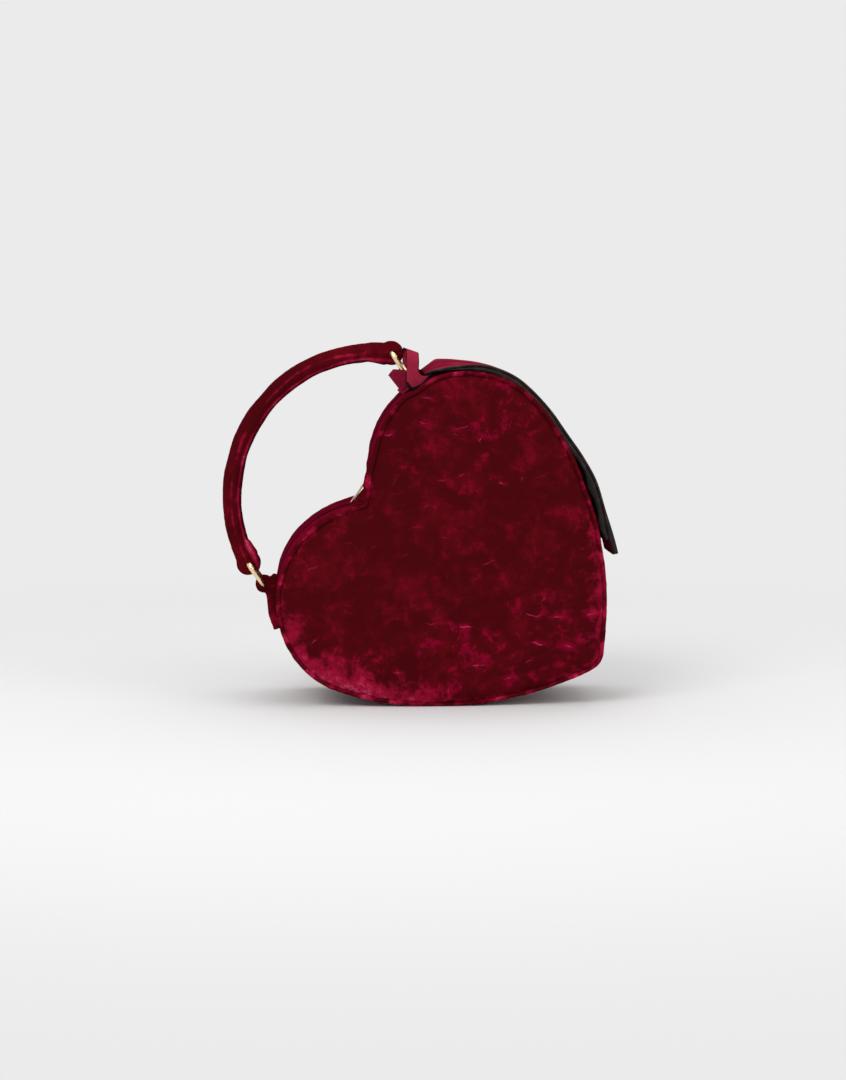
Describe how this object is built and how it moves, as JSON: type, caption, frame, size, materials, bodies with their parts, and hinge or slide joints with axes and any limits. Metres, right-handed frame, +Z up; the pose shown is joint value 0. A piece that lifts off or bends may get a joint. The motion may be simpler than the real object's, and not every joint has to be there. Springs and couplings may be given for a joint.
{
  "type": "heart shaped handbag",
  "caption": "Heart shaped velvet handbag with stiff padded faces, a zipped top, a tubular handle on two rings and a hanging leather tag; it stands leaning on its side.",
  "frame": {"origin": "middle of the bounding box, on the surface that the bag stands on", "axes": "+Z up as the leaning bag stands, +X across the heart towards its point and the tag, +Y from the front face to the back"},
  "size_m": [0.2346, 0.088, 0.2142],
  "materials": {
    "velvet": "crushed velvet, deep red",
    "lining": "plain woven lining",
    "tape": "woven tape",
    "wadding": "soft wadding",
    "board": "grey board",
    "leather": "smooth burgundy leather with dark painted edges",
    "leather_back": "dark suede side",
    "gold": "pale polished gold",
    "zip_metal": "dark antique metal"
  },
  "bodies": {
    "root": {"front_panel": "velvet", "back_panel": "velvet", "front_wadding": "wadding", "back_wadding": "wadding", "front_board": "board", "back_board": "board", "front_welt": "velvet", "back_welt": "velvet", "base_gusset": "velvet", "gusset_board": "board", "front_zip_strip": "velvet", "back_zip_strip": "velvet", "front_lining": "lining", "back_lining": "lining", "gusset_lining": "lining", "front_zip_tape": "tape", "back_zip_tape": "tape", "front_zip_teeth": "zip_metal", "back_zip_teeth": "zip_metal", "zip_stops": "zip_metal", "lower_tab": "velvet", "upper_tab": "velvet", "tag_neck": "leather", "tag_strap": "leather", "tag_strap_end": "leather"},
    "slider": {"zip_slider": "zip_metal"},
    "pull": {"zip_pull": "gold"},
    "lower_link": {"lower_ring": "gold"},
    "handle": {"handle_cover": "velvet", "handle_core": "wadding", "lower_handle_end": "velvet", "upper_handle_end": "velvet"},
    "upper_link": {"upper_ring": "gold"},
    "tag": {"tag_face": "leather", "tag_backing": "leather_back"}
  },
  "joints": [
    {"name": "lower_ring_swing", "type": "hinge", "parent": "root", "child": "lower_link", "pos_m": [-0.09263, 0, 0.0689], "axis": [0, 1, 0], "range_deg": [-45, 0]},
    {"name": "handle_swing", "type": "hinge", "parent": "lower_link", "child": "handle", "pos_m": [-0.10189, 0, 0.08144], "axis": [0, 1, 0], "range_deg": [0, 45]},
    {"name": "upper_ring_swing", "type": "hinge", "parent": "handle", "child": "upper_link", "pos_m": [-0.01597, 0, 0.20705], "axis": [0, 1, 0], "range_deg": [-45, 0]},
    {"name": "tag_lift", "type": "hinge", "parent": "root", "child": "tag", "pos_m": [0.00388, 0, 0.19307], "axis": [0, 1, 0], "range_deg": [-50, 0]},
    {"name": "slider_run", "type": "hinge", "parent": "root", "child": "slider", "pos_m": [0.02724, 0, 0.14048], "axis": [0, 1, 0], "range_deg": [0, 36]},
    {"name": "pull_flip", "type": "hinge", "parent": "slider", "child": "pull", "pos_m": [-0.03062, 0, 0.13187], "axis": [0, 1, 0], "range_deg": [0, 90]}
  ],
  "couplings": [
    {"joint": "handle_swing", "follows": "lower_ring_swing", "ratio": -1},
    {"joint": "upper_ring_swing", "follows": "lower_ring_swing", "ratio": 1}
  ]
}
